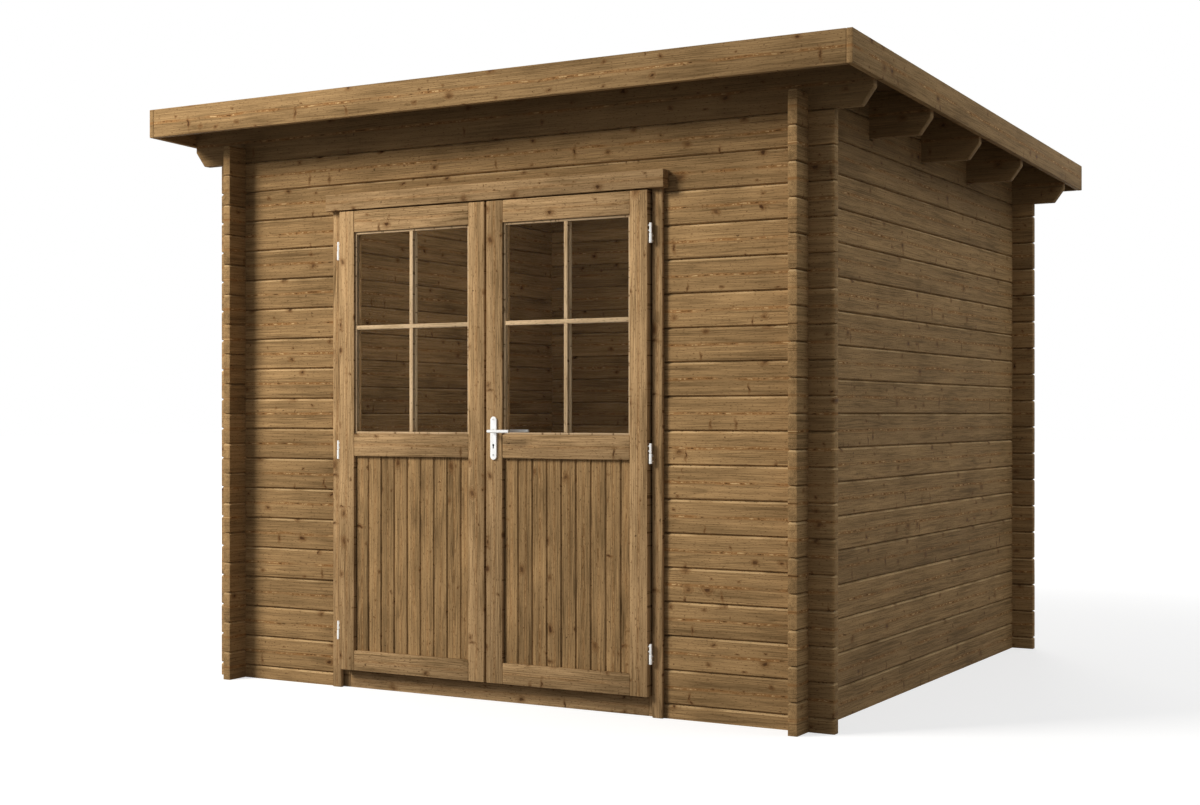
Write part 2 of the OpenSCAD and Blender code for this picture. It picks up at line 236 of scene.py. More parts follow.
def trimmed(bm, point, normal):
    """Cuts away what lies beyond a plane and closes the cut."""
    geom = bm.verts[:] + bm.edges[:] + bm.faces[:]
    cut = bmesh.ops.bisect_plane(bm, geom=geom, dist=TOUCH, plane_co=point, plane_no=normal,
                                 clear_outer=True)["geom_cut"]
    rim = [e for e in cut if isinstance(e, bmesh.types.BMEdge)]
    if rim:
        bmesh.ops.holes_fill(bm, edges=rim, sides=0)


def timber(rng, lo, hi, along, chamfer=0.0, end_edge=0.0):
    """A squared timber between two corners, with its fibres along one axis."""
    bm = bmesh.new()
    grain = bm.verts.layers.float_vector.new("grain")
    tone = bm.verts.layers.float.new("tone")
    size = Vector(hi) - Vector(lo)
    a = along.index(1)
    wide, thick = sorted((i for i in range(3) if i != a), key=lambda i: -size[i])
    length = size[a]
    bmesh.ops.create_cube(bm, size=1.0)
    bmesh.ops.scale(bm, vec=(length, size[thick], size[wide]), verts=bm.verts)
    if chamfer:
        long_edges = [e for e in bm.edges if abs(e.verts[0].co.x - e.verts[1].co.x) > length / 2]
        bevelled(bm, long_edges, chamfer)
    if end_edge:
        rim = [e for e in bm.edges if abs(e.verts[0].co.x - e.verts[1].co.x) < TOUCH
               and abs(abs(e.verts[0].co.x) - length / 2) < TOUCH]
        bevelled(bm, rim, end_edge)
    start, shade = rng.uniform(0, 60), rng.random()
    for v in bm.verts:
        v[grain] = (v.co.x + start, v.co.z, v.co.y)
        v[tone] = shade
    x = Vector(along)
    z = Vector((0, 0, 0))
    z[wide] = 1.0
    turn = Matrix((x, z.cross(x), z)).transposed().to_4x4()
    bmesh.ops.transform(bm, matrix=Matrix.Translation((Vector(lo) + Vector(hi)) / 2) @ turn,
                        verts=bm.verts)
    return bm


def eased(rng, lo, hi, along, edge, segments=2):
    """A squared timber with softened edges."""
    bm = timber(rng, lo, hi, along)
    softened(bm, edge, segments)
    return bm


def bedded(bm, axis, thick, depth):
    """Raises a middle strip on the faces across an axis, so that two timbers meet without a gap."""
    bmesh.ops.recalc_face_normals(bm, faces=bm.faces)
    beds = [f for f in bm.faces if abs(f.normal[axis]) > 0.99]
    bmesh.ops.inset_individual(bm, faces=beds, thickness=thick / BED_PARTS, depth=depth)


def notched(bm, axis, start, end, low=None, high=None):
    """Cuts a log's lower or upper side back over a stretch of its length."""
    slant = NOTCH_SLANT
    normal = [0, 0, 0]
    normal[axis] = 1
    for at in (start, start + slant, end - slant, end):
        point = [0, 0, 0]
        point[axis] = at
        bmesh.ops.bisect_plane(bm, geom=bm.verts[:] + bm.edges[:] + bm.faces[:], dist=TOUCH,
                               plane_co=point, plane_no=normal)
    bottom, top = min(v.co.z for v in bm.verts), max(v.co.z for v in bm.verts)
    inside = [v for v in bm.verts if start + slant / 2 < v.co[axis] < end - slant / 2]
    for verts, move in (([v for v in inside if v.co.z < (bottom + top) / 2], low and low - bottom),
                        ([v for v in inside if v.co.z >= (bottom + top) / 2], high and high - top)):
        if move:
            bmesh.ops.translate(bm, vec=(0, 0, move), verts=verts)


def leaning(bm):
    """Shears a piece that was drawn level so that it follows the roof's fall."""
    shear = Matrix.Identity(4)
    shear[2][1] = -FALL
    shear[2][3] = under(0)
    bmesh.ops.transform(bm, matrix=shear, verts=bm.verts)


def gathered(parts):
    """Joins the meshes of several parts into one."""
    whole = bmesh.new()
    for part in parts:
        loose = bpy.data.meshes.new("loose")
        part.to_mesh(loose)
        part.free()
        whole.from_mesh(loose)
        bpy.data.meshes.remove(loose)
    return whole


def piece(name, parts, material, body, nodes):
    """Makes the parts an object that rides on a body in place of CAD nodes."""
    bm = gathered(parts)
    bmesh.ops.recalc_face_normals(bm, faces=bm.faces)
    mesh = bpy.data.meshes.new(name)
    bm.to_mesh(mesh)
    bm.free()
    mesh.shade_smooth()
    mesh.set_sharp_from_angle(angle=SHARP_ANGLE)
    mesh.materials.append(material)
    made = bpy.data.objects.new(name, mesh)
    bpy.context.scene.collection.objects.link(made)
    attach(made, body)
    if nodes:
        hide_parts(*nodes)


# Finishes

def node(tree, kind, inputs=None, **settings):
    """Adds a node, sets its settings and fills or links its inputs."""
    made = tree.nodes.new(kind)
    for key, value in settings.items():
        setattr(made, key, value)
    for key, value in (inputs or {}).items():
        if isinstance(value, bpy.types.NodeSocket):
            tree.links.new(value, made.inputs[key])
        else:
            made.inputs[key].default_value = value
    return made


def calc(tree, operation, *values, clamp=False):
    """A Math node's result."""
    return node(tree, "ShaderNodeMath", dict(enumerate(values)), operation=operation,
                use_clamp=clamp).outputs[0]


def stretched(tree, vector, scale):
    """A vector multiplied by a scale for each axis."""
    return node(tree, "ShaderNodeVectorMath", {0: vector, 1: scale},
                operation="MULTIPLY").outputs[0]


def noise(tree, vector, detail=2.0, rough=0.5, colour=False):
    """Noise at a vector that already has its scale."""
    made = node(tree, "ShaderNodeTexNoise",
                {"Vector": vector, "Scale": 1.0, "Detail": detail, "Roughness": rough})
    return made.outputs["Color" if colour else "Fac"]


def faded(tree, value, start, end, to_start=0.0, to_end=1.0):
    """A smooth step of a value from one level to another."""
    return node(tree, "ShaderNodeMapRange",
                {"Value": value, "From Min": start, "From Max": end,
                 "To Min": to_start, "To Max": to_end},
                interpolation_type="SMOOTHSTEP").outputs[0]


def blended(tree, factor, a, b, kind="MIX"):
    """Two colours mixed."""
    made = node(tree, "ShaderNodeMix", data_type="RGBA", blend_type=kind)
    for socket, value in zip((made.inputs[0], made.inputs[6], made.inputs[7]), (factor, a, b)):
        if isinstance(value, bpy.types.NodeSocket):
            tree.links.new(value, socket)
        else:
            socket.default_value = value if isinstance(value, float) else (*value, 1.0)[:4]
    return made.outputs[2]


def new_finish(name):
    """An empty finish with its node tree and shader."""
    made = bpy.data.materials.new(name)
    made.use_nodes = True
    return made, made.node_tree, made.node_tree.nodes["Principled BSDF"]


# Colours in the wood, beside its pale and dark fibres
RUST = (0.270, 0.120, 0.036)
PALE_HEART = (0.60, 0.41, 0.20)
HEART_SPLIT = (0.060, 0.028, 0.010)
# pale colour of the painted highlight below a log's upper edge, standing in for light caught by its
# upper chamfer
ARRIS_HIGHLIGHT = (0.62, 0.43, 0.22)
DARK_SPECK = (0.095, 0.043, 0.015)
KNOT_HALO = (0.150, 0.066, 0.021)
KNOT_CORE = (0.048, 0.019, 0.007)

# Round, spike and pin knots: cells per metre along and across, part of the share, largest size
KNOTS = (((9.5, 14.0, 0.0), 1.0, 0.080),
         ((21.0, 6.5, 0.0), 0.35, 0.055),
         ((30.0, 40.0, 0.0), 0.25, 0.100))

# Light and dark in the wood: waves per metre along, across and through, detail, roughness, weight
GRAIN_WAVES = {"band": ((1.5, 52.0, 52.0), 3.0, 0.72, 1.35),
               "streak": ((5.0, 210.0, 210.0), 2.0, 0.6, 1.0),
               "fibre": ((11.0, 430.0, 430.0), 3.0, 0.65, 1.5),
               "cloud": ((3.0, 7.0, 7.0), 2.0, 0.5, 1.05)}
MEAN_LEVEL = 0.62
LATE_WOOD = -0.24  # how much darker the late wood of a ring is

SWAY_V, SWAY_W = 0.034, 0.026  # wandering of the rings' centre across and through a timber
SHIFT_V, SHIFT_W = 0.11, 0.05  # spread of the rings' centre from timber to timber
LEAST_DEEP = 0.022  # least depth of the rings' centre behind the face
HEART_BEND = 0.018  # wandering of the heart line
ARRIS_IN = 0.0045  # distance of a log's painted highlight line from its upper edge
TONE_SPREAD = 0.24  # spread of brightness from timber to timber


def knot_marks(tree, place, flat, share, size):
    """Dark cores and brown halos of the knots that a share of the cells of a pattern hold."""
    cells = node(tree, "ShaderNodeTexVoronoi", {"Vector": place, "Scale": 1.0},
                 voronoi_dimensions="2D", feature="F1")
    pick = node(tree, "ShaderNodeSeparateColor", {0: cells.outputs["Color"]}).outputs
    shake = noise(tree, stretched(tree, flat, (190.0, 190.0, 0.0)), 2.0)
    far = calc(tree, "MULTIPLY_ADD", calc(tree, "SUBTRACT", shake, 0.5), 0.07,
               cells.outputs["Distance"])
    radius = calc(tree, "MULTIPLY_ADD", calc(tree, "POWER", pick[1], 2.2), size, 0.020)
    reach = calc(tree, "DIVIDE", far, radius)
    held = calc(tree, "LESS_THAN", pick[0], share)
    depth = calc(tree, "MULTIPLY", held, calc(tree, "MULTIPLY_ADD", pick[2], 0.6, 0.4))
    return (calc(tree, "MULTIPLY", depth, faded(tree, reach, 0.5, 1.25, 1.0, 0.0)),
            calc(tree, "MULTIPLY", held, faded(tree, reach, 0.8, 3.4, 1.0, 0.0)))


def treated_wood(name, light, dark, rings=230.0, heart=1.0, knots=0.42, arris=1.0):
    """Treated softwood with rings, fibres, knots, specks, a broken heart line and a painted
    highlight along a log's upper edge.
    """
    made, tree, shader = new_finish(name)
    grain = node(tree, "ShaderNodeAttribute", attribute_name="grain").outputs["Vector"]
    tone = node(tree, "ShaderNodeAttribute", attribute_name="tone").outputs["Fac"]
    split = node(tree, "ShaderNodeSeparateXYZ", {0: grain}).outputs
    u, v, w = split[0], split[1], split[2]

    slow = node(tree, "ShaderNodeSeparateColor",
                {0: noise(tree, stretched(tree, grain, (1.7, 12.0, 12.0)), 2.0, 0.5, True)}).outputs
    sway_v = calc(tree, "MULTIPLY_ADD", slow[0], SWAY_V, -SWAY_V / 2)
    sway_w = calc(tree, "MULTIPLY_ADD", slow[1], SWAY_W, -SWAY_W / 2)

    flat = node(tree, "ShaderNodeCombineXYZ", {0: u, 1: v, 2: 0.0}).outputs[0]
    warp = stretched(tree, noise(tree, stretched(tree, flat, (30.0, 34.0, 0.0)), 2.0, 0.6, True),
                     (0.030, 0.022, 0.0))
    moved = node(tree, "ShaderNodeVectorMath", {0: flat, 1: warp}, operation="ADD").outputs[0]
    (core, halo), (spike, flame), (pin, _) = (
        knot_marks(tree, stretched(tree, moved, cells), flat, knots * part, size)
        for cells, part, size in KNOTS)
    core = calc(tree, "MAXIMUM", calc(tree, "MAXIMUM", core, spike), pin)
    halo = calc(tree, "MAXIMUM", halo, flame)

    off_v = calc(tree, "MULTIPLY_ADD", tone, SHIFT_V, -SHIFT_V / 2)
    off_w = calc(tree, "MULTIPLY_ADD", calc(tree, "FRACT", calc(tree, "MULTIPLY", tone, 7.3)),
                 SHIFT_W, LEAST_DEEP)
    ring_v = calc(tree, "ADD", calc(tree, "ADD", v, off_v), sway_v)
    ring_w = calc(tree, "ADD", calc(tree, "ADD", w, off_w), sway_w)
    radius = calc(tree, "SQRT", calc(tree, "ADD", calc(tree, "MULTIPLY", ring_v, ring_v),
                                     calc(tree, "MULTIPLY", ring_w, ring_w)))
    phase = calc(tree, "FRACT", calc(tree, "MULTIPLY",
                                     calc(tree, "MULTIPLY_ADD", halo, 0.008, radius), rings))
    late = calc(tree, "MULTIPLY", faded(tree, phase, 0.35, 0.85),
                faded(tree, phase, 0.9, 1.0, 1.0, 0.0))

    waves, level = {}, MEAN_LEVEL
    for key, (scale, detail, rough, weight) in GRAIN_WAVES.items():
        waves[key] = noise(tree, stretched(tree, grain, scale), detail, rough)
        level = calc(tree, "MULTIPLY_ADD", calc(tree, "SUBTRACT", waves[key], 0.5), weight, level)
    fibre = waves["fibre"]
    level = calc(tree, "MULTIPLY_ADD", late, LATE_WOOD, level, clamp=True)
    colour = blended(tree, level, dark, light)

    bend = noise(tree, stretched(tree, flat, (5.0, 0.0, 0.0)), 3.0)
    bent = calc(tree, "MULTIPLY_ADD", calc(tree, "SUBTRACT", bend, 0.5), HEART_BEND, v)
    off = calc(tree, "ABSOLUTE", bent)
    near = faded(tree, off, 0.0008, 0.0032, 1.0, 0.0)
    wide = faded(tree, off, 0.001, 0.0085, 1.0, 0.0)
    broken = noise(tree, stretched(tree, flat, (27.0, 60.0, 0.0)), 4.0, 0.72)
    stretch = noise(tree, stretched(tree, flat, (6.0, 9.0, 0.0)), 1.0)
    pale = calc(tree, "MULTIPLY", faded(tree, broken, 0.51, 0.57, 0.0, 0.9 * heart),
                faded(tree, stretch, 0.40, 0.54))
    pale = calc(tree, "MULTIPLY", pale, near)
    split_line = calc(tree, "MULTIPLY", near, faded(tree, broken, 0.39, 0.47, 0.9 * heart, 0.0))
    rust = calc(tree, "MULTIPLY", wide, faded(tree, stretch, 0.34, 0.58, 0.1 * heart, 0.7 * heart))
    colour = blended(tree, rust, colour, RUST)
    colour = blended(tree, pale, colour, PALE_HEART)
    colour = blended(tree, split_line, colour, HEART_SPLIT)

    # Painted highlight: a pale broken line just below each log's upper edge, standing in for the
    # light that the upper chamfer catches
    rim = calc(tree, "ABSOLUTE", calc(tree, "SUBTRACT", v, arris))
    rim = faded(tree, rim, 0.0025, 0.0045, 1.0, 0.0)
    arris_highlight = calc(tree, "MULTIPLY", rim, faded(tree, stretch, 0.38, 0.58, 0.10, 0.55))
    colour = blended(tree, arris_highlight, colour, ARRIS_HIGHLIGHT)

    speck = noise(tree, stretched(tree, flat, (75.0, 330.0, 0.0)), 1.0)
    colour = blended(tree, faded(tree, speck, 0.63, 0.70, 0.0, 0.75), colour, DARK_SPECK)
    colour = blended(tree, calc(tree, "MULTIPLY", halo, 0.6), colour, KNOT_HALO)
    colour = blended(tree, calc(tree, "MULTIPLY", core, 0.9), colour, KNOT_CORE)
    share = calc(tree, "MULTIPLY_ADD", tone, TONE_SPREAD, 1.0 - TONE_SPREAD / 2)
    tint = node(tree, "ShaderNodeCombineColor", {0: share, 1: share, 2: share}).outputs[0]
    colour = blended(tree, 1.0, colour, tint, "MULTIPLY")
    tree.links.new(colour, shader.inputs["Base Color"])

    rough = calc(tree, "MULTIPLY_ADD", fibre, -0.22, 0.86)
    rough = calc(tree, "MULTIPLY_ADD", core, -0.18, rough)
    tree.links.new(rough, shader.inputs["Roughness"])
    shader.inputs["Specular IOR Level"].default_value = 0.1
    height = calc(tree, "MULTIPLY_ADD", late, 0.35, calc(tree, "MULTIPLY", fibre, 0.55))
    height = calc(tree, "MULTIPLY_ADD", split_line, -1.2, height)
    height = calc(tree, "MULTIPLY_ADD", core, -0.3, height)
    bump = node(tree, "ShaderNodeBump", {"Strength": 0.5, "Distance": 0.0012, "Height": height})
    tree.links.new(bump.outputs[0], shader.inputs["Normal"])
    return made


def mineral_felt(name, colour):
    """Roofing felt with a coat of mineral grains."""
    made, tree, shader = new_finish(name)
    place = node(tree, "ShaderNodeTexCoord").outputs["Object"]
    grains = node(tree, "ShaderNodeTexVoronoi", {"Vector": place, "Scale": 620.0})
    shade = node(tree, "ShaderNodeSeparateColor", {0: grains.outputs["Color"]}).outputs[0]
    patch = noise(tree, stretched(tree, place, (2.1, 2.1, 2.1)), 3.0)
    level = calc(tree, "MULTIPLY_ADD", patch, 0.7, calc(tree, "MULTIPLY_ADD", shade, 0.9, 0.2))
    tint = node(tree, "ShaderNodeCombineColor", {0: level, 1: level, 2: level}).outputs[0]
    base = blended(tree, 1.0, colour, tint, "MULTIPLY")
    tree.links.new(base, shader.inputs["Base Color"])
    tree.links.new(calc(tree, "MULTIPLY_ADD", shade, 0.2, 0.75), shader.inputs["Roughness"])
    bump = node(tree, "ShaderNodeBump",
                {"Strength": 0.6, "Distance": 0.001, "Height": grains.outputs["Distance"]})
    tree.links.new(bump.outputs[0], shader.inputs["Normal"])
    return made


def clear_glass(name):
    """Clear pane with a faint film of dust."""
    made, tree, shader = new_finish(name)
    place = node(tree, "ShaderNodeTexCoord").outputs["Object"]
    film = noise(tree, stretched(tree, place, (9.0, 9.0, 5.0)), 4.0, 0.6)
    wave = noise(tree, stretched(tree, place, (3.0, 3.0, 3.0)), 1.0)
    tree.links.new(faded(tree, film, 0.45, 0.8, 0.0, 0.02), shader.inputs["Roughness"])
    tree.links.new(blended(tree, film, (0.95, 0.96, 0.95), (0.99, 0.99, 0.99)),
                   shader.inputs["Base Color"])
    shader.inputs["Transmission Weight"].default_value = 1.0
    shader.inputs["IOR"].default_value = 1.08
    bump = node(tree, "ShaderNodeBump", {"Strength": 0.05, "Distance": 0.002, "Height": wave})
    tree.links.new(bump.outputs[0], shader.inputs["Normal"])
    return made


def bright_steel(name):
    """Steel with a fine drawn finish and light handling marks."""
    made, tree, shader = new_finish(name)
    place = node(tree, "ShaderNodeTexCoord").outputs["Object"]
    drawn = noise(tree, stretched(tree, place, (900.0, 900.0, 60.0)), 2.0)
    marks = noise(tree, stretched(tree, place, (70.0, 70.0, 70.0)), 3.0)
    tree.links.new(blended(tree, marks, (0.90, 0.91, 0.90), (0.98, 0.98, 0.97)),
                   shader.inputs["Base Color"])
    shader.inputs["Metallic"].default_value = 0.4
    tree.links.new(calc(tree, "MULTIPLY_ADD", drawn, 0.16,
                        calc(tree, "MULTIPLY_ADD", marks, 0.12, 0.24)),
                   shader.inputs["Roughness"])
    bump = node(tree, "ShaderNodeBump", {"Strength": 0.15, "Distance": 0.0003, "Height": drawn})
    tree.links.new(bump.outputs[0], shader.inputs["Normal"])
    return made


def dark_hole(name):
    """Near-black colour that paints the shade inside a keyhole and in screw slots."""
    made, tree, shader = new_finish(name)
    place = node(tree, "ShaderNodeTexCoord").outputs["Object"]
    spots = noise(tree, stretched(tree, place, (400.0, 400.0, 400.0)), 2.0)
    tree.links.new(blended(tree, spots, (0.012, 0.012, 0.012), (0.05, 0.05, 0.05)),
                   shader.inputs["Base Color"])
    shader.inputs["Metallic"].default_value = 0.6
    shader.inputs["Roughness"].default_value = 0.6
    return made


def finish_for(key):
    """The finish of a kind of piece, made on first use."""
    name = "shed_" + key
    if name in bpy.data.materials:
        return bpy.data.materials[name]
    look = bpy.context.scene.shed_finish
    # height of the painted highlight line on a log, from its middle
    arris = bpy.context.scene.shed_logs.height / 2 - ARRIS_IN
    woods = {"log": (look.light, look.dark, {"arris": arris}),
             "beam": (look.beam_light, look.dark, {}),
             "fascia": (look.fascia_light, look.dark, {"knots": 0.6}),
             "panel": (look.panel_light, look.panel_dark, {"rings": 300.0, "heart": 0.4}),
             "board": (look.board_light, look.dark, {"rings": 300.0, "heart": 0.5, "knots": 0.58}),
             # roof boards: their dark colours are painted shade under the eaves
             "roof": (look.roof_light, look.roof_dark, {"heart": 0.3}),
             "bead": (look.bar_light, look.bar_dark, {"rings": 420.0, "heart": 0.0, "knots": 0.10})}
    if key in woods:
        light, dark, grain = woods[key]
        return treated_wood(name, light, dark, **grain)
    if key == "felt":
        return mineral_felt(name, look.felt)
    return {"glass": clear_glass, "hole": dark_hole, "steel": bright_steel}[key](name)


# Walls

def log(rng, lo, hi, along):
    """One wall log with chamfered edges, resting on the next rows by a raised middle strip."""
    size = bpy.context.scene.shed_logs
    gap = Vector((0, 0, size.gap / 2))
    bm = timber(rng, Vector(lo) + gap, Vector(hi) - gap, along)
    for level, width in ((hi[2] - gap.z, size.chamfer), (lo[2] + gap.z, size.drip)):
        edges = [e for e in bm.edges if all(abs(v.co.z - level) < TOUCH for v in e.verts)
                 and abs((e.verts[0].co - e.verts[1].co).dot(Vector(along))) > SLACK]
        bevelled(bm, edges, width)
    axis = along.index(1)
    rim = [e for e in bm.edges for end in (lo[axis], hi[axis])
           if all(abs(v.co[axis] - end) < TOUCH for v in e.verts)]
    bevelled(bm, rim, size.end_edge, 2)
    bedded(bm, 2, WALL_T, size.gap / 2)
    return bm


def rows(first, top):
    """Lower and upper edges of the log rows from below the ground to a height."""
    height = bpy.context.scene.shed_logs.height
    z = first - height
    while z < top - SLACK:
        yield z, z + height
        z += height


def halved(bm, axis, start, end, z0, z1):
    """Half-lap notch: a quarter out of a log's lower and upper side where another log crosses."""
    notched(bm, axis, start, end, z0 + (z1 - z0) / 4, z1 - (z1 - z0) / 4)


def cross_log(rng, y0, y1, z0, z1, x0, x1):
    """A log along the width, notched where it crosses the side walls."""
    bm = log(rng, (x0, y0, z0), (x1, y1, z1), X)
    for start, end in ((-SIDE_HI.x, -SIDE_LO.x), (SIDE_LO.x, SIDE_HI.x)):
        if x0 < start and end < x1:
            halved(bm, 0, start, end, z0, z1)
    if z0 < 0:
        trimmed(bm, (0, 0, 0), (0, 0, -1))
    return bm


class SHED_OT_front_wall(bpy.types.Operator):
    """Builds the logs of the front wall beside and over the doorway"""

    bl_idname = "shed.front_wall"
    bl_label = "Front Wall"

    def execute(self, context):
        rng = random.Random("front wall")
        y0, y1 = FRONT_LO.y, FRONT_HI.y
        parts = []
        for z0, z1 in rows(context.scene.shed_logs.base, FRONT_HI.z):
            if z1 <= DOOR_TOP:
                parts.append(cross_log(rng, y0, y1, z0, z1, -CROSS_X, DOOR_L))
                parts.append(cross_log(rng, y0, y1, z0, z1, DOOR_R, CROSS_X))
                continue
            whole = cross_log(rng, y0, y1, z0, z1, -CROSS_X, CROSS_X)
            if z0 < DOOR_TOP:
                notched(whole, 0, DOOR_L, DOOR_R, low=DOOR_TOP)
            parts.append(whole)
        piece("front_logs", parts, finish_for("log"), "house",
              ("front_wall_left", "front_wall_right", "front_wall_over_door"))
        return {"FINISHED"}


class SHED_OT_back_wall(bpy.types.Operator):
    """Builds the logs of the back wall"""

    bl_idname = "shed.back_wall"
    bl_label = "Back Wall"

    def execute(self, context):
        rng = random.Random("back wall")
        parts = []
        for z0, z1 in rows(context.scene.shed_logs.base, BACK_HI.z):
            bm = cross_log(rng, BACK_LO.y, BACK_HI.y, z0, z1, -CROSS_X, CROSS_X)
            if z1 > BACK_HI.z:
                trimmed(bm, (0, 0, BACK_HI.z), Z)
            parts.append(bm)
        piece("back_logs", parts, finish_for("log"), "house", ("back_wall",))
        return {"FINISHED"}


def purlin_depths():
    """Front faces of all purlins."""
    count = bpy.context.scene.shed_roof.middle
    step = (MIDDLE_HI.y - WALL_T - MIDDLE_LO.y) / (count - 1)
    return [PURLIN_LO.y, *(MIDDLE_LO.y + k * step for k in range(count)), REAR_LO.y]


class SHED_OT_side_walls(bpy.types.Operator):
    """Builds the logs of both side walls, fitted round the purlins and under the roof"""

    bl_idname = "shed.side_walls"
    bl_label = "Side Walls"

    def execute(self, context):
        size = context.scene.shed_logs
        ys = purlin_depths()
        front, back = SIDE_LO.y, SIDE_HI.y
        strip = max(z for z, _ in rows(size.base + size.height / 2, BACK_HI.z + size.height / 2))
        for side, name in ((-1, "left"), (1, "right")):
            rng = random.Random(name + " wall")
            x0, x1 = sorted((side * SIDE_LO.x, side * SIDE_HI.x))
            parts = []
            for z0, z1 in rows(size.base + size.height / 2, under(front)):
                if z1 < strip + SLACK:
                    bm = log(rng, (x0, front, z0), (x1, back, z1), Y)
                    halved(bm, 1, FRONT_LO.y, FRONT_HI.y, z0, z1)
                    halved(bm, 1, BACK_LO.y, BACK_HI.y, z0, z1)
                    if z0 < 0:
                        trimmed(bm, (0, 0, 0), (0, 0, -1))
                    parts.append(bm)
                elif z0 < FRONT_HI.z:
                    bm = log(rng, (x0, front, z0), (x1, REAR_LO.y, z1), Y)
                    notched(bm, 1, FRONT_LO.y, FRONT_HI.y, z0 + size.height / 4, FRONT_HI.z)
                    for y in ys[1:-1]:
                        notched(bm, 1, y, y + WALL_T, high=under(y) - PURLIN_H)
                    parts.append(bm)
                else:
                    for y, after in zip(ys, ys[1:]):
                        bm = log(rng, (x0, y + WALL_T, z0), (x1, after, z1), Y)
                        trimmed(bm, (0, 0, under(0)), (0, FALL, 1))
                        parts.append(bm)
            piece(name + "_logs", parts, finish_for("log"), "house", (name + "_wall",))
        return {"FINISHED"}


# Roof

BEAM_EDGE = 0.003  # softened edges of the purlins and fascias
PLANK_GAP = 0.0006  # half the joint between two roof boards
PLANK_END = 0.001  # chamfer at a roof board's ends
FELT_T = 0.003
FELT_EDGE = 0.001
LAP_RISE = 1.3  # rise of a sheet over the next one, in felt thicknesses


class SHED_OT_purlins(bpy.types.Operator):
    """Builds the purlins with their slanted ends"""

    bl_idname = "shed.purlins"
    bl_label = "Purlins"

    def execute(self, context):
        roof = context.scene.shed_roof
        rng = random.Random("purlins")
        end = PURLIN_HI.x
        parts = []
        for y in purlin_depths():
            z = under(y) - PURLIN_H
            bm = timber(rng, (-end, y, z), (end, y + WALL_T, z + PURLIN_H), X)
            trimmed(bm, (0, 0, under(0)), (0, FALL, 1))
            for side in (-1, 1):
                trimmed(bm, (side * end, y, z + roof.cut_z),
                        (side * roof.cut_z, 0, -roof.cut_x))
            softened(bm, BEAM_EDGE)
            parts.append(bm)
        piece("purlin_beams", parts, finish_for("beam"), "house",
              ("front_purlin", "middle_purlins", "rear_purlin"))
        return {"FINISHED"}


class SHED_OT_roof(bpy.types.Operator):
    """Builds the roof boards and the felt on them"""

    bl_idname = "shed.roof"
    bl_label = "Roof"

    def execute(self, context):
        roof = context.scene.shed_roof
        rng = random.Random("roof")
        x0, x1 = BOARDS_LO.x, BOARDS_HI.x
        y0, y1 = BOARDS_LO.y, BOARDS_HI.y
        thick = BOARDS_HI.z - BOARDS_LO.z - (y1 - y0) * FALL
        count = round((x1 - x0) / roof.plank)
        wide = (x1 - x0) / count
        parts = []
        for k in range(count):
            bm = timber(rng, (x0 + k * wide + PLANK_GAP, y0, 0),
                        (x0 + (k + 1) * wide - PLANK_GAP, y1, thick), Y, roof.groove, PLANK_END)
            bedded(bm, 0, thick, PLANK_GAP)
            leaning(bm)
            parts.append(bm)
        piece("roof_planks", parts, finish_for("roof"), "house", ("roof_boards",))

        sheet = (y1 - y0 + (roof.sheets - 1) * roof.lap) / roof.sheets
        parts = []
        for k in range(roof.sheets):
            start = y0 + k * (sheet - roof.lap)
            bm = timber(rng, (x0, start, thick), (x1, start + sheet, thick + FELT_T), X, FELT_EDGE)
            if k < roof.sheets - 1:
                low = [v for v in bm.verts if v.co.y > start + sheet / 2]
                bmesh.ops.translate(bm, vec=(0, 0, FELT_T * LAP_RISE), verts=low)
            leaning(bm)
            parts.append(bm)
        piece("felt_sheets", parts, finish_for("felt"), "house", ("roof_felt",))
        return {"FINISHED"}


class SHED_OT_fascias(bpy.types.Operator):
    """Builds the fascia boards round the roof"""

    bl_idname = "shed.fascias"
    bl_label = "Fascias"

    def execute(self, context):
        rng = random.Random("fascias")
        x0, x1 = FASCIA_LO.x, FASCIA_HI.x
        y0, y1 = FASCIA_LO.y, FASCIA_HI.y
        thick = x1 - x0
        high = FASCIA_HI.z - under(y0)
        low = high - (FASCIA_HI.z - FASCIA_LO.z - (y1 - y0) * FALL)
        parts = []
        for lo, hi, along in (((-x1, y0), (-x0, y1), Y), ((x0, y0), (x1, y1), Y),
                              ((-x0, y0), (x0, y0 + thick), X), ((-x0, y1 - thick), (x0, y1), X)):
            bm = eased(rng, (*lo, low), (*hi, high), along, BEAM_EDGE)
            leaning(bm)
            parts.append(bm)
        piece("fascia_boards", parts, finish_for("fascia"), "house",
              ("front_fascia", "rear_fascia", "left_fascia", "right_fascia"))
        return {"FINISHED"}


# Doorway

JAMB_EDGE = 0.002
CASING_EDGE = 0.0025
LIP = 0.006  # strip behind the glass that holds it
LIP_EDGE = 0.001
PANEL_GAP = 0.0024  # half the joint between two boards of a leaf
PANEL_CHAMFER = 0.003
PANEL_END = 0.0006
PANE_EDGE = 0.0005
BEAD = 0.008  # bead in front of the glass, all round
BEAD_EDGE = 0.0018


class SHED_OT_door_frame(bpy.types.Operator):
    """Builds the jambs, head, threshold, casing and head board of the doorway"""

    bl_idname = "shed.door_frame"
    bl_label = "Door Frame"

    def execute(self, context):
        rng = random.Random("door frame")
        jambs = (("left_jamb", Z), ("right_jamb", Z), ("head_jamb", X), ("threshold", X))
        parts = [eased(rng, *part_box(name), along, JAMB_EDGE) for name, along in jambs]
        piece("door_jambs", parts, finish_for("board"), "house",
              ("left_jamb", "right_jamb", "head_jamb", "threshold"))

        casing = (("left_casing", Z), ("right_casing", Z), ("head_casing", X))
        parts = [eased(rng, *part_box(name), along, CASING_EDGE) for name, along in casing]
        piece("door_casing", parts, finish_for("board"), "house",
              ("left_casing", "right_casing", "head_casing"))
        return {"FINISHED"}


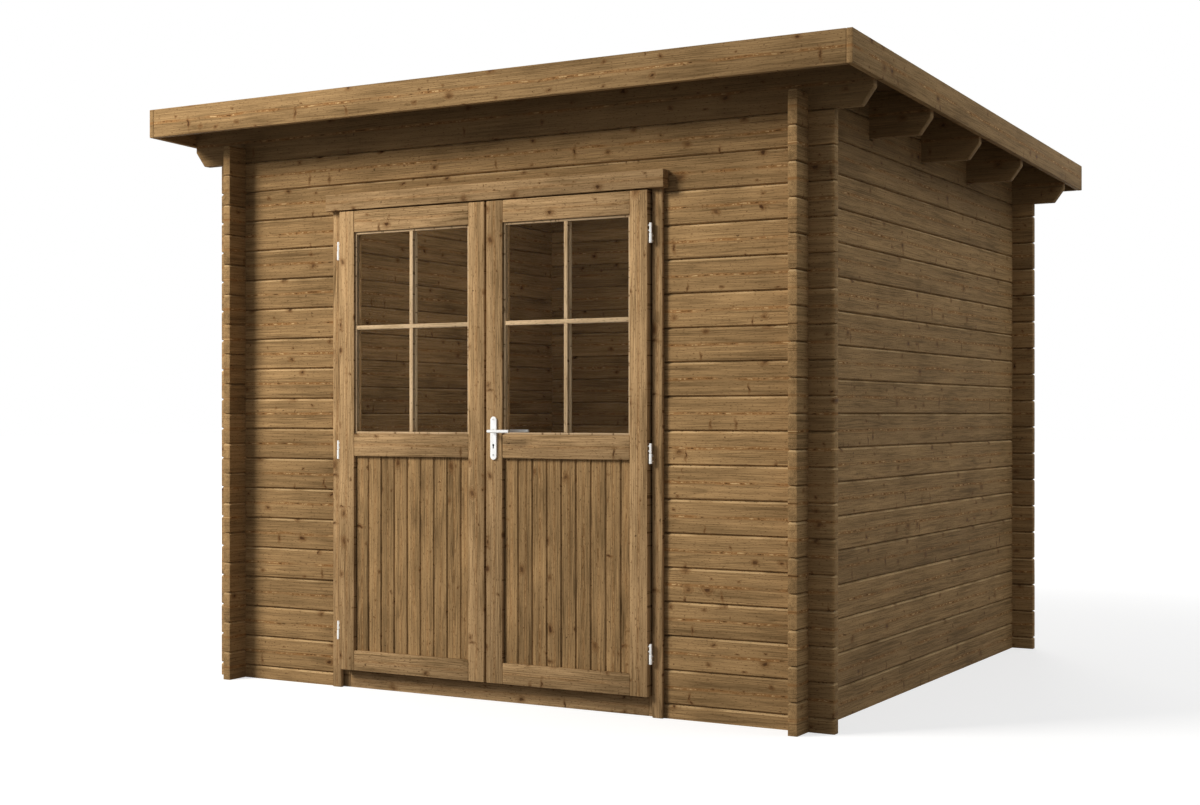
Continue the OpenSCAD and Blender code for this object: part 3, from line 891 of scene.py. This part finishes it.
class SHED_OT_leaves(bpy.types.Operator):
    """Builds the stiles, rails and boards of both leaves"""

    bl_idname = "shed.leaves"
    bl_label = "Leaves"

    def execute(self, context):
        door = context.scene.shed_door
        for name in ("left", "right"):
            rng = random.Random(name + " leaf")
            body = name + "_leaf"
            lo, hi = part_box(name + "_leaf_frame")
            pane_lo, pane_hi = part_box(name + "_leaf_glass")
            panel_lo, panel_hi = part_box(name + "_leaf_panel")
            seat = lo.x + door.stile - panel_lo.x
            x0, x1 = lo.x + door.stile, hi.x - door.stile
            low, sill = panel_lo.z + seat, panel_hi.z - seat
            parts = [eased(rng, (left, lo.y, lo.z), (right, hi.y, hi.z), Z, door.edge)
                     for left, right in ((lo.x, x0), (x1, hi.x))]
            parts += [eased(rng, (x0, lo.y, z0), (x1, hi.y, z1), X, door.edge)
                      for z0, z1 in ((lo.z, low), (sill, pane_lo.z), (pane_hi.z, hi.z))]
            for a, b, along in (((x0, pane_lo.z), (x0 + LIP, pane_hi.z), Z),
                                ((x1 - LIP, pane_lo.z), (x1, pane_hi.z), Z),
                                ((x0 + LIP, pane_lo.z), (x1 - LIP, pane_lo.z + LIP), X),
                                ((x0 + LIP, pane_hi.z - LIP), (x1 - LIP, pane_hi.z), X)):
                parts.append(eased(rng, (a[0], pane_hi.y, a[1]), (b[0], hi.y, b[1]), along,
                                   LIP_EDGE))
            piece(name + "_stiles_rails", parts, finish_for("board"), body,
                  (name + "_leaf_frame",))

            parts = []
            x = x0
            while x < x1 - SLACK:
                after = min(x + door.board, x1)
                bm = timber(rng, (x + PANEL_GAP, panel_lo.y, low),
                            (after - PANEL_GAP, panel_hi.y, sill), Z, PANEL_CHAMFER, PANEL_END)
                bedded(bm, 0, panel_hi.y - panel_lo.y, PANEL_GAP)
                parts.append(bm)
                x = after
            piece(name + "_panel_boards", parts, finish_for("panel"), body,
                  (name + "_leaf_panel",))
        return {"FINISHED"}


class SHED_OT_glazing(bpy.types.Operator):
    """Builds the panes, beads and glazing bars of both leaves"""

    bl_idname = "shed.glazing"
    bl_label = "Glazing"

    def execute(self, context):
        door = context.scene.shed_door
        half = door.bar / 2
        for name in ("left", "right"):
            rng = random.Random(name + " glazing")
            body = name + "_leaf"
            lo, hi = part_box(name + "_leaf_glass")
            bead_lo, bead_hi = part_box(name + "_leaf_beads")
            inner_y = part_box(name + "_leaf_frame")[1].y
            piece(name + "_pane", [eased(rng, lo, hi, Z, PANE_EDGE, 1)], finish_for("glass"),
                  body, (name + "_leaf_glass",))

            x, z = (lo.x + hi.x) / 2, door.bar_z
            y0, y1 = bead_lo.y, bead_hi.y
            shapes = [((lo.x, y0, lo.z), (lo.x + BEAD, y1, hi.z), Z),
                      ((hi.x - BEAD, y0, lo.z), (hi.x, y1, hi.z), Z),
                      ((lo.x + BEAD, y0, lo.z), (hi.x - BEAD, y1, lo.z + BEAD), X),
                      ((lo.x + BEAD, y0, hi.z - BEAD), (hi.x - BEAD, y1, hi.z), X)]
            for front, rear in ((y0, y1), (hi.y, inner_y)):
                shapes += [((x - half, front, lo.z + BEAD), (x + half, rear, z - half), Z),
                           ((x - half, front, z + half), (x + half, rear, hi.z - BEAD), Z),
                           ((lo.x + BEAD, front, z - half), (hi.x - BEAD, rear, z + half), X)]
            parts = [eased(rng, a, b, along, BEAD_EDGE) for a, b, along in shapes]
            piece(name + "_glazing_bars", parts, finish_for("bead"), body,
                  (name + "_leaf_beads",))
        return {"FINISHED"}


# Fittings

SIDES, SMALL_SIDES = 32, 20  # sides of a round bar and of a small one
HINGE_H = 0.070
BARREL_R, UPPER_R, PIN_R, STUD_R = 0.006, 0.005, 0.003, 0.003
BORE_R, CAP = 0.0034, 0.005  # bore of an upper barrel and its closed end
STUD_ROOT = 0.0040  # distance from the axis at which a leaf's stud starts, in the barrel's wall
BARREL_RIM, PIN_RIM = 0.0015, 0.0005
PIN_SHORT = 0.006  # how much shorter than half a hinge the pin is
BARREL_PLAY = 0.001  # gap between the two barrels
MIDDLE_HINGE = 0.835  # height of the middle hinge above the leaf's lower edge
FITTING_EDGE = 0.0012  # softened edges of the plates and the lever
LEVER_R, SPINDLE_R = 0.006, 0.004
LEVER_OUT = 0.0004  # start of the lever's neck, in front of the leaf
ELBOW, ELBOW_STEPS = 1.5, 8  # bend of the lever's elbow in lever radii, and its segments
GRIP_SIDES = 28
RIM_ANGLE = 1.2  # the lever's edges that turn by more than this, in radians, are softened
SCREW_R, SCREW_H, SCREW_RIM = 0.0042, 0.0012, 0.0008
SLOT_DEEP = 0.0006
TOP_SCREW, LOW_SCREW = 0.011, 0.086  # below the plate's upper end, and below the lever
TOP_SLOT, LOW_SLOT = (0.0034, 0.0004), (0.0013, 0.0036)  # half widths and half heights
KEY_R, KEY_DROP = 0.0038, 0.050  # keyhole's radius, and its distance below the lever
KEY_SUNK = 0.0008  # depth of the keyhole's painted-shade plug behind the plate's face


def rod(radius, length, at, axis, rim, sides=SIDES):
    """A round bar from a point along an axis, with softened ends where it has a rim."""
    bm = bmesh.new()
    bmesh.ops.create_cone(bm, cap_ends=True, segments=sides, radius1=radius, radius2=radius,
                          depth=length)
    if rim:
        edges = [e for e in bm.edges if abs(e.verts[0].co.z - e.verts[1].co.z) < TOUCH]
        bevelled(bm, edges, rim, 3)
    turn = Vector(Z).rotation_difference(Vector(axis)).to_matrix().to_4x4()
    middle = Vector(at) + Vector(axis).normalized() * length / 2
    bmesh.ops.transform(bm, matrix=Matrix.Translation(middle) @ turn, verts=bm.verts)
    return bm


def sleeve(radius, bore, length, cap, at, rim):
    """An upright barrel with softened outer rims, bored from below up to its closed end."""
    turns = [math.radians(a) for a in (0, 30, 60, 90)]
    outline = [(0, length)]
    outline += [(radius - rim * (1 - math.sin(a)), length - rim * (1 - math.cos(a))) for a in turns]
    outline += [(radius - rim * (1 - math.cos(a)), rim * (1 - math.sin(a))) for a in turns]
    outline += [(bore, 0), (bore, length - cap), (0, length - cap)]
    bm = bmesh.new()
    verts = [bm.verts.new((x, 0, z)) for x, z in outline]
    edges = [bm.edges.new(pair) for pair in zip(verts, verts[1:])]
    bmesh.ops.spin(bm, geom=verts + edges, axis=Z, cent=(0, 0, 0), steps=SIDES,
                   angle=2 * math.pi, use_merge=True)
    bmesh.ops.remove_doubles(bm, verts=bm.verts, dist=TOUCH)
    bmesh.ops.recalc_face_normals(bm, faces=bm.faces)
    bmesh.ops.transform(bm, matrix=Matrix.Translation(Vector(at)), verts=bm.verts)
    return bm


class SHED_OT_hinges(bpy.types.Operator):
    """Builds the lift-off hinges: lower barrels on the casing, upper barrels on the leaves"""

    bl_idname = "shed.hinges"
    bl_label = "Hinges"

    def execute(self, context):
        axes = {j["name"]: Vector(j["pos_m"]) for j in frame["joints"]}
        half = HINGE_H / 2
        leaf_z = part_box("left_leaf_frame")[0].z
        wall_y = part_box("left_casing")[0].y
        lowest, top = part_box("left_frame_hinges")[0].z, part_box("left_leaf_hinges")[1].z
        middles = (lowest + half, leaf_z + MIDDLE_HINGE, top - half)
        for name, side in (("left", -1), ("right", 1)):
            at = axes[name + "_door"]
            edge_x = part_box(name + "_leaf_frame")[0 if side < 0 else 1].x
            lower, higher = [], []
            for z in middles:
                lower.append(rod(BARREL_R, half, (at.x, at.y, z - half), Z, BARREL_RIM))
                lower.append(rod(PIN_R, half - PIN_SHORT, (at.x, at.y, z), Z, PIN_RIM))
                higher.append(sleeve(UPPER_R, BORE_R, half - BARREL_PLAY, CAP,
                                     (at.x, at.y, z + BARREL_PLAY), BARREL_RIM))
                for eighths in (1, 3):
                    off = HINGE_H * eighths / 8
                    lower.append(rod(STUD_R, wall_y - at.y, (at.x, at.y, z - off), Y, 0))
                    higher.append(rod(STUD_R, abs(edge_x - at.x) - STUD_ROOT,
                                      (at.x - side * STUD_ROOT, at.y, z + off), (-side, 0, 0), 0))
            piece(name + "_casing_barrels", lower, finish_for("steel"), "house",
                  (name + "_frame_hinges",))
            piece(name + "_leaf_barrels", higher, finish_for("steel"), name + "_leaf",
                  (name + "_leaf_hinges",))
        return {"FINISHED"}


def lever_grip(root, out, reach, length, radius):
    """Neck, elbow and grip of a lever, from a point at the leaf outwards and to the right."""
    bend = radius * ELBOW
    steps = ELBOW_STEPS
    bm = bmesh.new()
    bmesh.ops.create_circle(bm, cap_ends=True, segments=GRIP_SIDES, radius=radius)
    turn = Vector(Z).rotation_difference(Vector(out)).to_matrix().to_4x4()
    bmesh.ops.transform(bm, matrix=Matrix.Translation(root) @ turn, verts=bm.verts)
    centre = Vector(root) + Vector(out) * (reach - bend) + Vector(X) * bend
    angle = math.copysign(math.pi / 2 / steps, -out[1])
    cap = next(iter(bm.faces))
    for step in range(steps + 2):
        grown = bmesh.ops.extrude_face_region(bm, geom=[cap])["geom"]
        verts = [g for g in grown if isinstance(g, bmesh.types.BMVert)]
        if step == 0:
            bmesh.ops.translate(bm, vec=Vector(out) * (reach - bend), verts=verts)
        elif step <= steps:
            bmesh.ops.rotate(bm, cent=centre, matrix=Matrix.Rotation(angle, 3, "Z"), verts=verts)
        else:
            bmesh.ops.translate(bm, vec=Vector(X) * (length - bend), verts=verts)
        if cap.is_valid:
            bmesh.ops.delete(bm, geom=[cap], context="FACES_ONLY")
        cap = next(g for g in grown if isinstance(g, bmesh.types.BMFace))
    rims = [e for e in bm.edges if e.is_manifold and e.calc_face_angle() > RIM_ANGLE]
    bevelled(bm, rims, FITTING_EDGE, 3)
    return bm


class SHED_OT_handle(bpy.types.Operator):
    """Builds the back plates with their keyholes and screws, and the lever of the right leaf"""

    bl_idname = "shed.handle"
    bl_label = "Handle"

    def execute(self, context):
        leaf_lo, leaf_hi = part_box("right_leaf_frame")
        joint = next(j for j in frame["joints"] if j["name"] == "lever_press")
        axis = Vector(joint["pos_m"])
        parts, holes = [], []
        for name, out in (("outer_plate", -1), ("inner_plate", 1)):
            lo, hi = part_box(name)
            bm = bmesh.new()
            bm.from_mesh(frame["nodes"][name].data)
            bmesh.ops.remove_doubles(bm, verts=bm.verts, dist=TOUCH)
            bmesh.ops.dissolve_limit(bm, angle_limit=0.01, verts=bm.verts, edges=bm.edges)
            face_y, back_y = (lo.y, hi.y) if out < 0 else (hi.y, lo.y)
            rim = [e for e in bm.edges if all(abs(v.co.y - face_y) < TOUCH for v in e.verts)]
            bevelled(bm, rim, FITTING_EDGE, 2)
            parts.append(bm)
            for z, (wide, high) in ((hi.z - TOP_SCREW, TOP_SLOT), (axis.z - LOW_SCREW, LOW_SLOT)):
                parts.append(rod(SCREW_R, SCREW_H, (axis.x, face_y, z), (0, out, 0), SCREW_RIM,
                                 SMALL_SIDES))
                # a near-black box in the screw head's slot paints the slot's shade
                y = face_y + out * SCREW_H - SLOT_DEEP / 2
                holes.append(timber(random.Random(name), (axis.x - wide, y, z - high),
                                    (axis.x + wide, y + SLOT_DEEP, z + high), X))
            # a near-black plug in the keyhole, a little behind the face, paints the shade inside it
            key_z = axis.z - KEY_DROP
            sunk_y = face_y - out * KEY_SUNK
            holes.append(rod(KEY_R, abs(sunk_y - back_y), (axis.x, back_y, key_z), (0, out, 0), 0,
                             SMALL_SIDES))
            holes.append(timber(random.Random(name),
                                (axis.x - KEY_R / 2, min(back_y, sunk_y), key_z - 3 * KEY_R),
                                (axis.x + KEY_R / 2, max(back_y, sunk_y), key_z), X))
        piece("handle_plates", parts, finish_for("steel"), "right_leaf",
              ("outer_plate", "inner_plate"))
        # the near-black pieces in the slots and keyholes are painted shade
        piece("screw_slots", holes, finish_for("hole"), "right_leaf", ())

        lever_lo, lever_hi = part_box("lever")
        length = lever_hi.x - axis.x
        parts = [rod(SPINDLE_R, leaf_hi.y - leaf_lo.y, (axis.x, leaf_lo.y, axis.z), Y, 0)]
        for y, out, end in ((leaf_lo.y - LEVER_OUT, (0, -1, 0), lever_lo.y),
                            (leaf_hi.y + LEVER_OUT, (0, 1, 0), lever_hi.y)):
            reach = abs(end - y) - LEVER_R
            parts.append(lever_grip((axis.x, y, axis.z), out, reach, length, LEVER_R))
        piece("lever_handle", parts, finish_for("steel"), "lever", ("lever",))
        return {"FINISHED"}


# Stage

FLOOR_HALF = 60  # half the floor's width
FLOOR_LIT, FLOOR_SEEN = (0.22, 0.21, 0.20), (0.42, 0.42, 0.42)  # as light and as picture
GLOW_NEAR, GLOW_FAR = (2.5, 0.66), (8.0, 1.0)  # distance, and strength of the floor's white


def lamp(name, kind, at, power, size, colour, aim=None):
    """A soft lamp, turned towards a point if one is given."""
    data = bpy.data.lights.new(name, kind)
    data.energy = power
    data.color = colour
    if kind == "AREA":
        data.size = size
    else:
        data.shadow_soft_size = size
    made = bpy.data.objects.new(name, data)
    made.location = at
    if aim is not None:
        made.rotation_euler = (Vector(aim) - Vector(at)).to_track_quat("-Z", "Y").to_euler()
    made.visible_camera = False
    made.visible_glossy = False
    made.visible_transmission = False
    bpy.context.scene.collection.objects.link(made)


def seen_directly(tree):
    """1 for rays from the camera and for rays that metal or glass has sent on."""
    path = node(tree, "ShaderNodeLightPath").outputs
    total = calc(tree, "ADD", path["Is Camera Ray"], path["Is Glossy Ray"])
    return calc(tree, "ADD", total, path["Is Transmission Ray"], clamp=True)


class SHED_OT_stage(bpy.types.Operator):
    """Sets up the floor, the lamps, the white background and the camera"""

    bl_idname = "shed.stage"
    bl_label = "Stage"

    def execute(self, context):
        scene = context.scene
        stage = scene.shed_stage
        scene.view_settings.view_transform = "Standard"

        floor_bm = bmesh.new()
        bmesh.ops.create_grid(floor_bm, x_segments=1, y_segments=1, size=FLOOR_HALF)
        mesh = bpy.data.meshes.new("floor")
        floor_bm.to_mesh(mesh)
        floor_bm.free()
        pale = bpy.data.materials.new("stage_floor")
        pale.use_nodes = True
        tree = pale.node_tree
        tree.nodes.clear()
        seen = seen_directly(tree)
        place = node(tree, "ShaderNodeTexCoord").outputs["Object"]
        away = node(tree, "ShaderNodeVectorMath", {0: place}, operation="LENGTH").outputs["Value"]
        grey = blended(tree, seen, FLOOR_LIT, FLOOR_SEEN)
        diffuse = node(tree, "ShaderNodeBsdfDiffuse", {"Color": grey})
        white = faded(tree, away, GLOW_NEAR[0], GLOW_FAR[0], GLOW_NEAR[1], GLOW_FAR[1])
        glow = node(tree, "ShaderNodeEmission",
                    {"Color": (1, 1, 1, 1), "Strength": calc(tree, "MULTIPLY", seen, white)})
        both = node(tree, "ShaderNodeAddShader", {0: diffuse.outputs[0], 1: glow.outputs[0]})
        node(tree, "ShaderNodeOutputMaterial", {"Surface": both.outputs[0]})
        mesh.materials.append(pale)
        floor = bpy.data.objects.new("floor", mesh)
        scene.collection.objects.link(floor)

        world = bpy.data.worlds.new("studio")
        world.use_nodes = True
        scene.world = world
        tree = world.node_tree
        tree.nodes.clear()
        level = faded(tree, seen_directly(tree), 0.0, 1.0, stage.sky, 1.0)
        sky = node(tree, "ShaderNodeBackground", {"Color": (1, 1, 1, 1), "Strength": level})
        node(tree, "ShaderNodeOutputWorld", {"Surface": sky.outputs[0]})

        lamp("key_lamp", "AREA", (-5.2, -6.4, 5.6), stage.key, 3.0, (1.0, 0.97, 0.92),
             aim=(0, -1.2, 1.0))
        lamp("fill_lamp", "AREA", (5.6, 0.6, 5.4), stage.fill, 3.5, (0.92, 0.97, 1.0),
             aim=(1.2, 0, 0.6))
        lamp("back_lamp", "AREA", (-2.5, 8.0, 4.2), stage.back, 4.0, (1.0, 0.98, 0.95),
             aim=(0, 1.2, 1.0))
        lamp("room_lamp", "POINT", (0.0, -0.1, 1.7), stage.room, 0.35, (1.0, 0.96, 0.9))

        data = bpy.data.cameras.new("camera")
        data.sensor_width = 36.0
        data.lens = stage.focal * data.sensor_width
        data.shift_y = stage.rise
        camera = bpy.data.objects.new("camera", data)
        camera.location = stage.camera
        camera.rotation_euler = (math.pi / 2, 0, stage.swing)
        scene.collection.objects.link(camera)
        scene.camera = camera
        return {"FINISHED"}


class SHED_PT_panel(bpy.types.Panel):
    """Lists the shed's pieces and sizes"""

    bl_idname = "SHED_PT_panel"
    bl_label = "Log Garden Shed"
    bl_space_type = "VIEW_3D"
    bl_region_type = "UI"
    bl_category = "Shed"

    def draw(self, context):
        for operator in OPERATORS:
            self.layout.operator(operator.bl_idname)
        for attribute in GROUPS:
            group = getattr(context.scene, attribute)
            box = self.layout.box()
            box.label(text=group.bl_rna.name)
            for key in group.__annotations__:
                box.prop(group, key)


GROUPS = {"shed_logs": ShedLogs, "shed_roof": ShedRoof, "shed_door": ShedDoor,
          "shed_finish": ShedFinish, "shed_stage": ShedStage}
OPERATORS = (SHED_OT_front_wall, SHED_OT_back_wall, SHED_OT_side_walls, SHED_OT_purlins,
             SHED_OT_roof, SHED_OT_fascias, SHED_OT_door_frame, SHED_OT_leaves,
             SHED_OT_glazing, SHED_OT_hinges, SHED_OT_handle, SHED_OT_stage)


def register():
    for group in (*GROUPS.values(), *OPERATORS, SHED_PT_panel):
        bpy.utils.register_class(group)
    for attribute, group in GROUPS.items():
        setattr(bpy.types.Scene, attribute, bpy.props.PointerProperty(type=group))


def unregister():
    for attribute in GROUPS:
        delattr(bpy.types.Scene, attribute)
    for group in reversed((*GROUPS.values(), *OPERATORS, SHED_PT_panel)):
        bpy.utils.unregister_class(group)


def main():
    register()
    bpy.ops.shed.stage()
    bpy.ops.shed.front_wall()
    bpy.ops.shed.back_wall()
    bpy.ops.shed.side_walls()
    bpy.ops.shed.purlins()
    bpy.ops.shed.roof()
    bpy.ops.shed.fascias()
    bpy.ops.shed.door_frame()
    bpy.ops.shed.leaves()
    bpy.ops.shed.glazing()
    bpy.ops.shed.hinges()
    bpy.ops.shed.handle()


if __name__ == "__main__":
    main()
